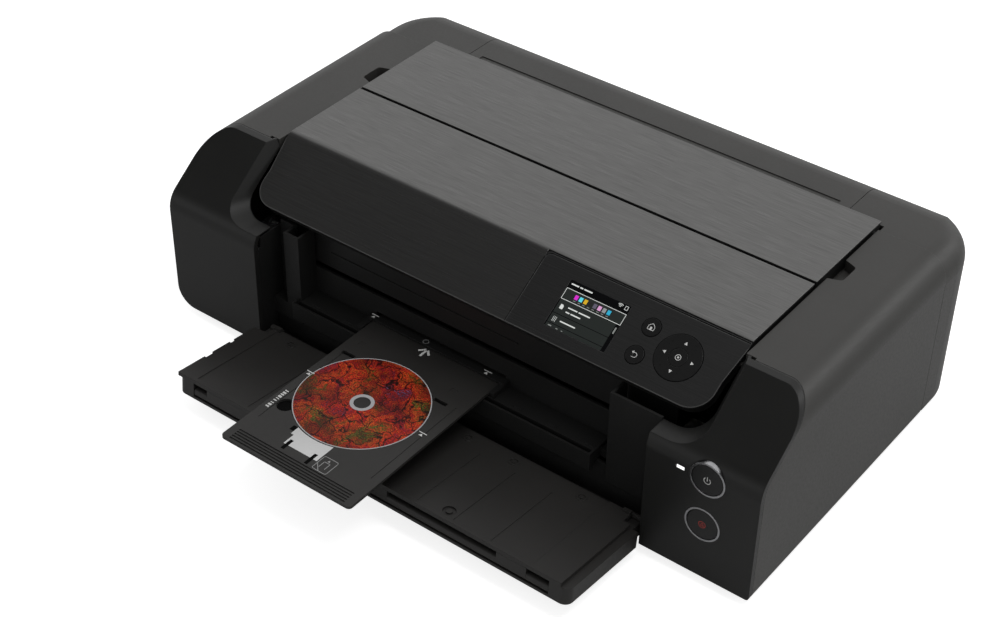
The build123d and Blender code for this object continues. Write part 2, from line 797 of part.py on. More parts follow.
# Inner cover: a shelf with a channel behind its front edge, and the guide of the disc tray
shelf_front = 14.5
shelf_left = -183.5
shelf_right = 150.4
shelf_low = 36
channel = (shelf_front + 2, shelf_front + 6.5)
channel_floor = shelf_top - 6
guide_low = carrier_z + carrier_thickness + 0.7
guide_y = (36, mouth_back - 0.4)
guide_reach = 6
rail_gap = 0.6
with BuildPart() as inner_cover:
    block((shelf_left, shelf_right), (shelf_front, mouth_depth - seam), (shelf_low, shelf_top))
    block((mouth_left + run_gap, shelf_right), (shelf_front, shelf_rear), (42, shelf_top))
    block((shelf_right - 1, mouth_right - run_gap), (30, shelf_rear), (42, 50))
    block((mouth_left + 4, shelf_right - 4), (shelf_front + 9, shelf_rear - 3),
          (41, shelf_top - 3), Mode.SUBTRACT)
    block((shelf_left + 2, shelf_right - 2), channel, (channel_floor, shelf_top + 1),
          Mode.SUBTRACT)
    for x in range(-162, 150, 38):
        block((x - 5, x + 5), (channel[1] + 3, channel[1] + 4.5), (shelf_top - 1,
                                                                   shelf_top + 0.8))
    block((shelf_left, shelf_left + 2), (shelf_front, mouth_depth - seam),
          (shelf_top - 1, shelf_top + 1))
    for edge, away in ((carrier_left, -1), (carrier_right, 1)):
        block((edge + away * rail_gap, edge + away * guide_reach),
              (channel[1] + 1, guide_y[1]), (shelf_top - 1, guide_low + 0.5))
        block((edge, edge - away * 3), (channel[1] + 1, guide_y[1]),
              (shelf_top - 1, roller_top))
    block((carrier_left - guide_reach, carrier_right + guide_reach), guide_y,
          (guide_low, guide_low + 2))
save(inner_cover, "inner_cover")

with BuildPart() as exit_floor:
    block((-190, 190), (shelf_rear + run_gap, exit_y - exit_radius - 2), (50, shelf_top))
    block((-bracket_inner, bracket_inner), (exit_y - 16, exit_y - exit_radius - 2),
          (50, shelf_top))
    with Locations(*((x, front + 84, base + 52) for x in range(-150, 151, 50))):
        Box(30, 50, 8, mode=Mode.SUBTRACT)
save(exit_floor, "exit_floor")

# Output tray that folds up on two pins, and its extension
tray_plate = 2.5
tray_inner = 196
tray_lip = 16.5
tray_bar = 11
tray_corner = 8
plate_right = 207
plate_rear = 7
plate_rear_half = tray_rear_half - 9
strip_inner = tray_inner - 1
strip_drop = 0.8
lug_radius = 3
pin_root = 9
groove_xs = (-134, -95, -57, 57, 95, 134)
groove_size = 1.2
boss_xs = (-172, -85, -35, 35, 85, 156)
boss_y = -4
boss_radius = 5
tray_turn = Axis((0, front + tray_hinge_y, base + tray_hinge_z), (1, 0, 0))


def tilted(piece):
    """The piece turned up about the hinge of the output tray."""
    piece.part = piece.part.rotate(tray_turn, -tray_angle)
    return piece


with BuildPart() as output_tray:
    block((-tray_half, tray_half), (tray_front, -6), (0, tray_lip))
    block((-tray_rear_half, tray_rear_half), (-7, -1), (0, tray_lip))
    fillet(output_tray.edges().filter_by(Axis.Z).group_by(Axis.Y)[0], tray_corner)
    block((-tray_half, plate_right), (tray_front, -6), (tray_lip, tray_height))
    block((-plate_rear_half, plate_rear_half), (-7, plate_rear), (tray_lip, tray_height))
    block((-tray_inner, tray_inner), (tray_front - 1, -4), (tray_plate, tray_lip),
          Mode.SUBTRACT)
    block((-strip_inner, plate_right - 30), (tray_front + 4, plate_rear + 1),
          (tray_height - strip_drop, tray_height + 1), Mode.SUBTRACT)
    for x in groove_xs:
        block((x - groove_size / 2, x + groove_size / 2), (tray_front + 4, boss_y - 12),
              (tray_height - strip_drop - 0.5, tray_height), Mode.SUBTRACT)
    for x in boss_xs:
        rod_z(boss_radius, (tray_lip, tray_height - 0.2), x, boss_y)
        rod_z(boss_radius - 1.5, (tray_height - 1.4, tray_height), x, boss_y, Mode.SUBTRACT)
        rod_z(1.4, (tray_lip, tray_height - 0.5), x, boss_y)
    rod_z(6, (tray_height - 2.5, tray_height + 1), 85, tray_front + 12, Mode.SUBTRACT)
    rod_z(3, (tray_lip, tray_height - 1), 85, tray_front + 12)
    for low, high in ((-72, -62), (-40, -34)):
        block((-tray_half - 1, 2 - tray_half), (low, high), (tray_plate, tray_height + 1),
              Mode.SUBTRACT)
    for sign in (-1, 1):
        block((sign * (tray_inner + 1), sign * tray_rear_half), (-2, tray_hinge_y + 5),
              (1.5, 15))
        rod_x(lug_radius, (sign * (tray_inner + 1), sign * (tray_rear_half - 1)),
              tray_hinge_y, 16)
        block((sign * (plate_rear_half - 8), sign * plate_rear_half), (plate_rear - 4, plate_rear),
              (tray_lip, tray_height + 2.5))
        rod_x(tray_pin_radius,
              (sign * (tray_rear_half - pin_root), sign * (pillar_inner + 2.6)),
              tray_hinge_y, tray_hinge_z)
save(tilted(output_tray), "output_tray")

tab_xs = ((16 - tray_inner, 28), (143, 173))
with BuildPart() as tray_extension:
    block((-tray_inner + 0.5, tray_inner - 0.5), (tray_front + 0.4, -8),
          (tray_plate + run_gap, tray_bar))
    front_edge = tray_extension.edges().filter_by(Axis.X).group_by(Axis.Y)[0]
    fillet(front_edge, 3)
    block((-tray_inner + 4, tray_inner - 4), (tray_front + 9, 0), (tray_plate + 3, tray_bar + 1),
          Mode.SUBTRACT)
    for reach in tab_xs:
        block(reach, (tray_front + 0.2, tray_front + 8),
              (tray_plate + run_gap + 3, tray_lip - run_gap))
    block((-tray_inner + 1, tray_inner - 1), (tray_front + 6, tray_front + 8),
          (tray_bar - 1, tray_lip - run_gap))
save(tilted(tray_extension), "tray_extension")

# Disc tray and the disc in its recess
carrier_top = carrier_z + carrier_thickness
finger_notch = (disc_x - 49, disc_y - 43)
latch_reach = (52, 42)
edge_strip = 9
recess_floor = carrier_top - disc_thickness - 0.2
with BuildPart() as disc_tray:
    block((carrier_left, carrier_right), (-tray_reach, carrier_rear), (carrier_z, carrier_top))
    fillet(disc_tray.edges().filter_by(Axis.Z), 4)
    rod_z(disc_radius + 0.5, (recess_floor, carrier_top + 1), disc_x, disc_y, Mode.SUBTRACT)
    rod_z(disc_hole - 0.2, (recess_floor - 0.5, carrier_top - 0.4), disc_x, disc_y)
    rod_z(8, (recess_floor - 0.5, carrier_top + 1), *finger_notch, Mode.SUBTRACT)
    for sign in (-1, 1):
        x = disc_x + sign * latch_reach[0]
        block((x - 7, x + 7), (disc_y + latch_reach[1] - 2, disc_y + latch_reach[1] + 2),
              (recess_floor - 0.5, carrier_top + 1), Mode.SUBTRACT)
        block((x - 3, x + 3), (disc_y + latch_reach[1] + 16, disc_y + latch_reach[1] + 21),
              (carrier_top - 0.5, carrier_top + 1), Mode.SUBTRACT)
        strip = ((carrier_left + carrier_right) / 2
                 + sign * ((carrier_right - carrier_left) / 2 - edge_strip))
        block((strip - 0.4, strip + 0.4), (disc_y - 68, disc_y + latch_reach[1] + 2),
              (carrier_top - 0.5, carrier_top + 1), Mode.SUBTRACT)
    for i in range(5):
        block((carrier_left + 8, carrier_right - 8),
              (3 * i + 2.2 - tray_reach, 3 * i + 3.8 - tray_reach),
              (carrier_top - 0.8, carrier_top + 1), Mode.SUBTRACT)
save(disc_tray, "disc_tray")

with BuildPart() as disc:
    rod_z(disc_radius, (recess_floor, recess_floor + disc_thickness), disc_x, disc_y)
    rod_z(disc_hole, (recess_floor - 1, carrier_top + 1), disc_x, disc_y, Mode.SUBTRACT)
save(disc, "disc")

# Base pan, feet and the screws that hold it
pan_bottom = 0.5
pan_rear = side_rear - 2
screw_places = [(x, y) for x in (-150, 150) for y in (50, 105, 215, side_rear - 26)]
with BuildPart() as base_pan:
    block((-pan_edge[-1], pan_edge[1]), (rim + 1.5, pan_rear), (pan_bottom, pan_top))
    block((1 - pillar_inner, pillar_inner - 1), (0, 20), (0, pan_top + 1), Mode.SUBTRACT)
    block((1 - pillar_inner, pillar_inner - 1), (pan_wall, pan_wall + plate),
          (pan_bottom, 41))
    for x, y in screw_places:
        rod_z(4, (pan_top - 1, 8), x, y)
        rod_z(1.6 + fit, (0, 9), x, y, Mode.SUBTRACT)
save(base_pan, "base_pan")

with BuildPart() as feet:
    for x in (29 - frame_x, frame_x - 29):
        for y in (30, side_rear - 21):
            rod_z(9, (-foot_height, pan_bottom), x, y)
    fillet(feet.faces().group_by(Axis.Z)[0].edges(), 2)
save(feet, "feet")

with BuildPart() as screws:
    for x, y in screw_places:
        rod_z(3.5, (-1, pan_bottom), x, y)
        rod_z(1.6, (pan_bottom - 0.1, 7), x, y)
save(screws, "screws")

# Side frames, rail and shaft of the carriage
motor_x = -belt_pulley_x
tab_y = (124, 126)
with BuildPart() as side_frames:
    for sign in (-1, 1):
        reach = sorted((sign * frame_x, sign * (frame_x + frame_thickness_x)))
        with BuildSketch(side_plane(reach[0])):
            with BuildLine():
                Polyline((60, pan_top), (shaft_y - 3, pan_top), (shaft_y - 3, 8),
                         (shaft_y + 9, 8), (shaft_y + 9, carriage_top), (60, carriage_top),
                         close=True)
            make_face()
        extrude(amount=frame_thickness_x)
        block((sign * (frame_x + 1), sign * (frame_x - 42)), tab_y, (80, 116))
    rod_y(4, (tab_y[0] - 1, tab_y[1] + 1), motor_x, belt_z, Mode.SUBTRACT)
    rod_y(3, (tab_y[1] - 1, belt_pulley_y + 7), belt_pulley_x, belt_z)
    block((-frame_x, -motor_plate_x), (79, 111), (pan_top, pan_top + 3))
    block((-motor_plate_x - 2, -motor_plate_x), (79, 111), (pan_top, 66))
    rod_x(3, (-motor_plate_x - 4, 1 - motor_plate_x), feed_motor_y, feed_motor_z,
          Mode.SUBTRACT)
    rod_x(4 + fit, (-frame_x - 4, -frame_x + 1), feed_y, feed_z, Mode.SUBTRACT)
    rod_x(3 + fit, (-frame_x - 4, -frame_x + 1), exit_y, exit_z, Mode.SUBTRACT)
save(side_frames, "side_frames")

with BuildPart() as carriage_rail:
    block((-frame_x, frame_x), (rail_y, rail_y + 2), (84, rail_top))
save(carriage_rail, "carriage_rail")

with BuildPart() as guide_shaft:
    rod_x(shaft_radius, (-frame_x, frame_x), shaft_y, shaft_z)
save(guide_shaft, "guide_shaft")

# Rollers in their brackets
pin = 1.5
with BuildPart() as roller_brackets:
    for sign in (-1, 1):
        reach = sorted((sign * bracket_inner, sign * (bracket_inner + bracket_thickness)))
        with BuildSketch(side_plane(reach[0])):
            with BuildLine():
                Polyline((112, pan_top), (222, pan_top), (222, 67), (198, 67), (198, 56),
                         (140, 56), (140, 72), (112, 72), close=True)
            make_face()
        extrude(amount=bracket_thickness)
    for radius, y, z in ((4, feed_y, feed_z), (3, exit_y, exit_z), (pin, feed_y, pinch_z),
                         (pin, exit_y, star_z)):
        rod_x(radius + fit, (-bracket_inner - 5, bracket_inner + 5), y, z, Mode.SUBTRACT)
save(roller_brackets, "roller_brackets")

with BuildPart() as platen:
    block((-bracket_inner, bracket_inner), (138, 194), (44, shelf_top))
    block((-bracket_inner + 10, bracket_inner - 10), (142, 190), (43, shelf_top - 3),
          Mode.SUBTRACT)
save(platen, "platen")

belt_reach = (belt_x - belt_width / 2, belt_x + belt_width / 2)
shaft_end = bracket_inner + bracket_thickness + 1
for name, radius, axle, y, z in (("feed_roller", feed_radius, 4, feed_y, feed_z),
                                 ("discharge_roller", exit_radius, 3, exit_y, exit_z)):
    with BuildPart() as roller:
        rod_x(radius, (2 - bracket_inner, bracket_inner - 2), y, z)
        rod_x(axle, (-frame_x - 3, shaft_end), y, z)
        rod_x(pulley_radius, belt_reach, y, z)
    save(roller, name)

with BuildPart() as pinch_rollers:
    rod_x(pin, (-shaft_end, shaft_end), feed_y, pinch_z)
    for x in range(-160, 161, 80):
        rod_x(pinch_radius, (x - 15, x + 15), feed_y, pinch_z)
save(pinch_rollers, "pinch_rollers")

with BuildPart() as star_wheels:
    rod_x(pin, (-shaft_end, shaft_end), exit_y, star_z)
    for x in range(-187, 188, 34):
        rod_x(star_radius, (x - 1, x + 1), exit_y, star_z)
save(star_wheels, "star_wheels")

with BuildPart() as star_wheel_holder:
    block((-bracket_inner - bracket_thickness, bracket_inner + bracket_thickness),
          (exit_y - 10, exit_y + 10), (72, 80))
save(star_wheel_holder, "star_wheel_holder")

# Motors, pulleys and belts
with BuildPart() as motors:
    rod_y(motor_radius, (tab_y[0] - motor_length, tab_y[0]), motor_x, belt_z)
    rod_y(2.5, (tab_y[0] - 1, belt_pulley_y + 7), motor_x, belt_z)
    rod_x(motor_radius, (-motor_plate_x, motor_length - motor_plate_x), feed_motor_y,
          feed_motor_z)
    rod_x(2, (belt_reach[0] - 1, 1 - motor_plate_x), feed_motor_y, feed_motor_z)
save(motors, "motors")

with BuildPart() as feed_motor_pulley:
    rod_x(motor_pulley_radius, belt_reach, feed_motor_y, feed_motor_z)
    rod_x(2 + fit, (belt_reach[0] - 1, belt_reach[1] + 1), feed_motor_y, feed_motor_z,
          Mode.SUBTRACT)
save(feed_motor_pulley, "feed_motor_pulley")


def belt_sketch(wheels, grow):
    """Hull round some wheels, given as centre and radius."""
    with BuildSketch() as loop:
        for (u, v), radius in wheels:
            with Locations((u, v)):
                Circle(radius + grow)
        make_hull(loop.edges())
    return loop.sketch


feed_wheels = (((feed_y, feed_z), pulley_radius), ((exit_y, exit_z), pulley_radius),
               ((feed_motor_y, feed_motor_z), motor_pulley_radius))
carriage_wheels = (((-belt_pulley_x, belt_z), belt_pulley_radius),
                   ((belt_pulley_x, belt_z), belt_pulley_radius))
with BuildPart() as feed_belt:
    with BuildSketch(side_plane(belt_reach[0])):
        add(belt_sketch(feed_wheels, run_gap + belt_thickness))
        add(belt_sketch(feed_wheels, run_gap), mode=Mode.SUBTRACT)
    extrude(amount=belt_width)
save(feed_belt, "feed_belt")

with BuildPart() as carriage_belt:
    with BuildSketch(front_plane(belt_pulley_y)):
        add(belt_sketch(carriage_wheels, run_gap + belt_thickness))
        add(belt_sketch(carriage_wheels, run_gap), mode=Mode.SUBTRACT)
    extrude(amount=-belt_width)
save(carriage_belt, "carriage_belt")

for name, x, bore in (("drive_pulley", -belt_pulley_x, 2.5), ("idler_pulley", belt_pulley_x, 3)):
    with BuildPart() as pulley:
        rod_y(belt_pulley_radius, (belt_pulley_y, belt_pulley_y + belt_width), x, belt_z)
        rod_y(bore + fit, (belt_pulley_y - 1, belt_pulley_y + 6), x, belt_z, Mode.SUBTRACT)
    save(pulley, name)

# Carriage with its print head and ink tanks
half = carriage_width / 2
left_end = carriage_x - half
right_end = carriage_x + half
tank_front = 196
tank_rear = shaft_y - 12
carriage_rear = shaft_y - 7
with BuildPart() as print_carriage:
    block((left_end, right_end), (150, carriage_rear), (carriage_floor, 112))
    block((left_end, right_end), (tank_front - 3, carriage_rear), (carriage_floor, carriage_top))
    block((left_end + wall, right_end - wall), (tank_front - 0.5, tank_rear + 1),
          (carriage_floor + 3, carriage_top + 1), Mode.SUBTRACT)
    block((left_end + wall, right_end - wall), (150 + wall, tank_front - 5),
          (carriage_floor + 3, 115), Mode.SUBTRACT)
    block((carriage_x - 40, carriage_x + 40), (139, 150 + wall), (100, 118))
    block((carriage_x - 41, carriage_x + 41), (rail_y - 0.4, rail_y + 2.4), (99, rail_top + 0.4),
          Mode.SUBTRACT)
    block((carriage_x - 30, carriage_x + 30), (shaft_y - 8, shaft_y + 8),
          (shaft_z - 10, shaft_z + 10))
    rod_x(shaft_radius + fit + 0.01, (carriage_x - 31, carriage_x + 31), shaft_y, shaft_z,
          Mode.SUBTRACT)
save(print_carriage, "print_carriage")

with BuildPart() as print_head:
    block((carriage_x - 40, carriage_x + 40), (152, 192), (59.5, carriage_floor))
save(print_head, "print_head")

with BuildPart() as ink_tanks:
    for i in range(tank_count):
        x = carriage_x + (i - (tank_count - 1) / 2) * tank_pitch
        block((x - tank_pitch / 2 + 0.5, x + tank_pitch / 2 - 0.5), (tank_front, tank_rear),
              (carriage_floor + 3, carriage_top - 2))
save(ink_tanks, "ink_tanks")

# Service pieces at the bottom and the electronics
station_left = bracket_inner + 9
with BuildPart() as maintenance_station:
    block((station_left, frame_x - 4), (146, 198), (pan_top, 50))
    for x in (station_left + 10, station_left + 34):
        block((x - 9, x + 9), (156, 188), (49, 58.8))
        block((x - 7, x + 7), (158, 186), (56, 60), Mode.SUBTRACT)
save(maintenance_station, "maintenance_station")

with BuildPart() as waste_ink_pad:
    block((-190, 190), (140, 190), (pan_top, 24))
save(waste_ink_pad, "waste_ink_pad")

supply_x = (4 - frame_x, -bracket_inner - 8)
supply_y = (feed_y + 20, side_rear - 6)
with BuildPart() as power_supply:
    block(supply_x, supply_y, (pan_top, 64))
    for i in range(int((supply_y[1] - supply_y[0] - 14) / 8) + 1):
        y = supply_y[0] + 10 + 8 * i
        block((supply_x[0] + 10, supply_x[1] - 10), (y, y + 3), (60, 65), Mode.SUBTRACT)
save(power_supply, "power_supply")

with BuildPart() as logic_board:
    block(board_x, (board_y, board_y + board_thickness), board_z)
    for along, z, size in ((30, 70, 12), (70, 74, 16), (110, 60, 9)):
        x = board_x[0] + along
        block((x - size, x + size), (board_y - 2, board_y + 0.5), (z - size, z + size))
    for (x, half), (low, high) in ports.items():
        block((x - half, x + half), (board_y + board_thickness - 0.5, depth - 0.5), (low, high))
        block((x - half + 1.2, x + half - 1.2), (depth - 10, depth), (low + 1.2, high - 1.2),
              Mode.SUBTRACT)
save(logic_board, "logic_board")

with BuildPart() as mains_inlet:
    block((inlet_x - inlet_half, inlet_x + inlet_half), (depth - 27, depth - 0.5), inlet_z)
    block((inlet_x - inlet_half - 4, inlet_x + inlet_half + 4), (depth - 5.2, depth - wall),
          (inlet_z[0] - 4, inlet_z[1] + 4))
    block((inlet_x - 12, inlet_x + 12), (depth - 17, depth), (inlet_z[0] + 4, inlet_z[1] - 4),
          Mode.SUBTRACT)
    for x in (-6, 6):
        rod_y(1.5, (depth - 18, depth - 5), inlet_x + x, sum(inlet_z) / 2)
save(mains_inlet, "mains_inlet")
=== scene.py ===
import math

import bmesh
import bpy
from mathutils import Matrix, Vector


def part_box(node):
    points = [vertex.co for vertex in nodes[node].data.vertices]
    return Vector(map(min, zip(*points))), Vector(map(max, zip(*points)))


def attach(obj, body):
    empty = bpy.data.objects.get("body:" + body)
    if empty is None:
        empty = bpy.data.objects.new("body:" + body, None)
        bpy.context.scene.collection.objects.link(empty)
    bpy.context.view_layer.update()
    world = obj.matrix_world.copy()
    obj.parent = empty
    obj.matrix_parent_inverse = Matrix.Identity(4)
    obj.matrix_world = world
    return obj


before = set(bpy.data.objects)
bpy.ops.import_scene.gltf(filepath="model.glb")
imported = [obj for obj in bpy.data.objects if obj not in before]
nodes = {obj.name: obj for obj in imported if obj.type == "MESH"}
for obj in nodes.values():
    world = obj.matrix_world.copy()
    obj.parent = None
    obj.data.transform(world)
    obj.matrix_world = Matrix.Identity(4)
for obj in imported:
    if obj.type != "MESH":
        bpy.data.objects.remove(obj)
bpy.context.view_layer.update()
scene = bpy.context.scene
MM = 0.001

# Where the housing starts: its front face and its lower edge
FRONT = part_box("left_front_cover")[0].y
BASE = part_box("left_front_cover")[0].z


def at(x, y, z):
    """A point in millimetres: y from the front face, z from the housing's lower edge."""
    return Vector((x * MM, FRONT + y * MM, BASE + z * MM))


# Node material helpers
def new_material(name):
    mat = bpy.data.materials.new(name)
    mat.use_nodes = True
    tree = mat.node_tree
    tree.nodes.clear()
    out = tree.nodes.new("ShaderNodeOutputMaterial")
    shader = tree.nodes.new("ShaderNodeBsdfPrincipled")
    tree.links.new(shader.outputs[0], out.inputs[0])
    return mat, tree, shader


def node(tree, kind, **values):
    made = tree.nodes.new(kind)
    for key, value in values.items():
        if hasattr(made, key):
            setattr(made, key, value)
        else:
            made.inputs[key.replace("_", " ")].default_value = value
    return made


def object_coords(tree, scale=(1, 1, 1)):
    coords = tree.nodes.new("ShaderNodeTexCoord")
    mapping = node(tree, "ShaderNodeMapping")
    mapping.inputs["Scale"].default_value = scale
    tree.links.new(coords.outputs["Object"], mapping.inputs["Vector"])
    return mapping.outputs["Vector"]


def noise(tree, vector, scale, detail=3.0, rough=0.55):
    tex = node(tree, "ShaderNodeTexNoise", Scale=scale, Detail=detail, Roughness=rough)
    tree.links.new(vector, tex.inputs["Vector"])
    return tex.outputs["Fac"]


def spread(tree, value, low, high, start=0.3, end=0.7):
    ramp = node(tree, "ShaderNodeMapRange")
    ramp.inputs["From Min"].default_value = start
    ramp.inputs["From Max"].default_value = end
    ramp.inputs["To Min"].default_value = low
    ramp.inputs["To Max"].default_value = high
    tree.links.new(value, ramp.inputs["Value"])
    return ramp.outputs["Result"]


def blend(tree, factor, first, second):
    """Mix of two colours, each a socket or three numbers."""
    mix = node(tree, "ShaderNodeMix", data_type="RGBA")
    tree.links.new(factor, mix.inputs["Factor"])
    sockets = [socket for socket in mix.inputs if socket.type == "RGBA"]
    for socket, color in zip(sockets, (first, second)):
        if isinstance(color, tuple):
            socket.default_value = (*color, 1)
        else:
            tree.links.new(color, socket)
    return [socket for socket in mix.outputs if socket.type == "RGBA"][0]


def two_tone(tree, value, dark, light, start=0.3, end=0.7):
    """Mix of a dark and a light colour by how far a value lies between start and end."""
    share = spread(tree, value, 0.0, 1.0, start, end)
    return blend(tree, share, tuple(dark), tuple(light))


def bumped(tree, shader, heights, bevel=0.4):
    """Normal from a rounded edge and then one bump for each height, strength and depth."""
    edge = node(tree, "ShaderNodeBevel", samples=4)
    edge.inputs["Radius"].default_value = bevel * MM
    normal = edge.outputs["Normal"]
    for value, strength, depth in heights:
        bump = node(tree, "ShaderNodeBump", Strength=strength, Distance=depth * MM)
        tree.links.new(value, bump.inputs["Height"])
        tree.links.new(normal, bump.inputs["Normal"])
        normal = bump.outputs["Normal"]
    tree.links.new(normal, shader.inputs["Normal"])


def plastic(name, color, roughness, specular=0.3, grain=1.0, depth=0.04, bevel=0.4, vary=0.12):
    """Moulded plastic: fine grain in its surface, faint clouds in its colour and gloss."""
    mat, tree, shader = new_material(name)
    vector = object_coords(tree)
    cloud = noise(tree, vector, 9.0, 4.0)
    fine = noise(tree, vector, 1400.0 / grain, 2.0)
    speck = noise(tree, vector, 420.0 / grain, 3.0)
    dark = [c * (1 - vary) for c in color]
    light = [c * (1 + vary) for c in color]
    tree.links.new(two_tone(tree, cloud, dark, light), shader.inputs["Base Color"])
    tree.links.new(spread(tree, speck, roughness * 0.9, roughness * 1.1),
                   shader.inputs["Roughness"])
    shader.inputs["Specular IOR Level"].default_value = specular
    bumped(tree, shader, ((fine, 0.5, depth), (speck, 0.35, depth)), bevel)
    return mat


def metal(name, color, roughness, bevel=0.3, streak=(1, 1, 1), scale=300.0):
    mat, tree, shader = new_material(name)
    vector = object_coords(tree, streak)
    lines = noise(tree, vector, scale, 4.0)
    tree.links.new(two_tone(tree, lines, [c * 0.85 for c in color], [c * 1.1 for c in color]),
                   shader.inputs["Base Color"])
    tree.links.new(spread(tree, lines, roughness * 0.8, roughness * 1.25),
                   shader.inputs["Roughness"])
    shader.inputs["Metallic"].default_value = 1.0
    bumped(tree, shader, ((lines, 0.25, 0.02),), bevel)
    return mat


def brushed(name, color, roughness, metallic):
    """Brushed finish with fine streaks across the width."""
    mat, tree, shader = new_material(name)
    fine = noise(tree, object_coords(tree, (0.03, 1.0, 1.0)), 1100.0, 3.0, 0.6)
    broad = noise(tree, object_coords(tree, (0.02, 1.0, 1.0)), 420.0, 3.0, 0.6)
    cloud = noise(tree, object_coords(tree, (0.3, 1.0, 1.0)), 6.0, 3.0)
    mixed = node(tree, "ShaderNodeMath", operation="ADD")
    tree.links.new(spread(tree, fine, 0.0, 0.75), mixed.inputs[0])
    tree.links.new(spread(tree, broad, 0.0, 0.25), mixed.inputs[1])
    streaks = mixed.outputs[0]
    tree.links.new(two_tone(tree, streaks, [c * 0.8 for c in color], [c * 1.2 for c in color],
                            0.1, 0.9), shader.inputs["Base Color"])
    shader.inputs["Metallic"].default_value = metallic
    shader.inputs["Specular IOR Level"].default_value = 0.3
    rough = node(tree, "ShaderNodeMath", operation="ADD")
    tree.links.new(spread(tree, streaks, roughness + 0.04, roughness - 0.04, 0.1, 0.9),
                   rough.inputs[0])
    tree.links.new(spread(tree, cloud, -0.02, 0.02), rough.inputs[1])
    tree.links.new(rough.outputs[0], shader.inputs["Roughness"])
    bumped(tree, shader, ((streaks, 0.12, 0.02),), 0.5)
    return mat


def ramp_of(tree, value, stops):
    """Colour of a value by a list of places and colours."""
    ramp = tree.nodes.new("ShaderNodeValToRGB")
    elements = ramp.color_ramp.elements
    while len(elements) < len(stops):
        elements.new(0.5)
    for element, (place, color) in zip(elements, stops):
        element.position = place
        element.color = (*color, 1)
    tree.links.new(value, ramp.inputs["Fac"])
    return ramp.outputs["Color"]


# Radii on the disc in millimetres: the clear ring at its hub and the edge of its print
HUB_RING = 10.8
PRINT_EDGE = 59.1


def disc_print(name, centre):
    """Printed disc: clear hub ring, warped facets of warm colours, plain pale rim."""
    mat, tree, shader = new_material(name)
    coords = tree.nodes.new("ShaderNodeTexCoord")
    mapping = node(tree, "ShaderNodeMapping")
    mapping.inputs["Location"].default_value = [-c * 1000 for c in centre]
    mapping.inputs["Scale"].default_value = (1000, 1000, 1000)
    tree.links.new(coords.outputs["Object"], mapping.inputs["Vector"])
    place = mapping.outputs["Vector"]
    flat_place = node(tree, "ShaderNodeVectorMath", operation="MULTIPLY")
    tree.links.new(place, flat_place.inputs[0])
    flat_place.inputs[1].default_value = (1, 1, 0)
    radius = node(tree, "ShaderNodeVectorMath", operation="LENGTH")
    tree.links.new(flat_place.outputs[0], radius.inputs[0])
    warp = node(tree, "ShaderNodeTexNoise", Scale=0.05, Detail=4.0)
    tree.links.new(flat_place.outputs[0], warp.inputs["Vector"])
    push = node(tree, "ShaderNodeVectorMath", operation="MULTIPLY_ADD")
    tree.links.new(warp.outputs["Color"], push.inputs[0])
    push.inputs[1].default_value = (46, 46, 0)
    tree.links.new(flat_place.outputs[0], push.inputs[2])
    warped = push.outputs[0]
    cells = node(tree, "ShaderNodeTexVoronoi", Scale=0.85)
    tree.links.new(warped, cells.inputs["Vector"])
    tone = tree.nodes.new("ShaderNodeSeparateColor")
    tree.links.new(cells.outputs["Color"], tone.inputs[0])
    seams = node(tree, "ShaderNodeTexVoronoi", Scale=0.05, feature="DISTANCE_TO_EDGE")
    tree.links.new(warped, seams.inputs["Vector"])
    broad = noise(tree, warped, 0.03, 4.0)
    shade = noise(tree, flat_place.outputs[0], 0.028, 3.0)
    speck = noise(tree, flat_place.outputs[0], 0.8, 4.0, 0.75)
    total = node(tree, "ShaderNodeMath", operation="ADD")
    tree.links.new(spread(tree, broad, 0.0, 0.66, 0.34, 0.66), total.inputs[0])
    tree.links.new(spread(tree, tone.outputs[0], 0.0, 0.34, 0.0, 1.0), total.inputs[1])
    warm = ramp_of(tree, total.outputs[0],
                   ((0.0, (0.16, 0.19, 0.42)), (0.13, (0.20, 0.03, 0.06)),
                    (0.3, (0.36, 0.010, 0.012)), (0.46, (0.66, 0.035, 0.012)),
                    (0.58, (0.72, 0.12, 0.02)), (0.68, (0.26, 0.03, 0.008)),
                    (0.8, (0.16, 0.17, 0.02)), (1.0, (0.02, 0.07, 0.02))))
    deep = blend(tree, spread(tree, shade, 0.72, 0.0, 0.38, 0.58), warm, (0.03, 0.004, 0.006))
    shaded = blend(tree, spread(tree, speck, 0.92, 0.0, 0.40, 0.56), deep, (0.014, 0.006, 0.005))
    veined = blend(tree, spread(tree, seams.outputs["Distance"], 0.95, 0.0, 0.012, 0.04), shaded,
                   (0.006, 0.004, 0.004))
    distance = radius.outputs["Value"]
    hubbed = blend(tree, spread(tree, distance, 0.0, 1.0, HUB_RING - 0.1, HUB_RING + 0.1),
                   (0.40, 0.40, 0.41), veined)
    rimmed = blend(tree, spread(tree, distance, 0.0, 1.0, PRINT_EDGE - 0.1, PRINT_EDGE + 0.1),
                   hubbed, (0.42, 0.42, 0.43))
    tree.links.new(rimmed, shader.inputs["Base Color"])
    tree.links.new(spread(tree, speck, 0.3, 0.42), shader.inputs["Roughness"])
    shader.inputs["Specular IOR Level"].default_value = 0.12
    bumped(tree, shader, ((speck, 0.1, 0.01),), 0.15)
    return mat


def glow(name, color, strength):
    mat, tree, shader = new_material(name)
    shade = noise(tree, object_coords(tree), 2500.0, 2.0)
    tree.links.new(two_tone(tree, shade, [c * 0.9 for c in color], color, 0.2, 0.8),
                   shader.inputs["Emission Color"])
    shader.inputs["Emission Strength"].default_value = strength
    shader.inputs["Base Color"].default_value = (*[c * 0.2 for c in color], 1)
    shader.inputs["Roughness"].default_value = 0.4
    return mat


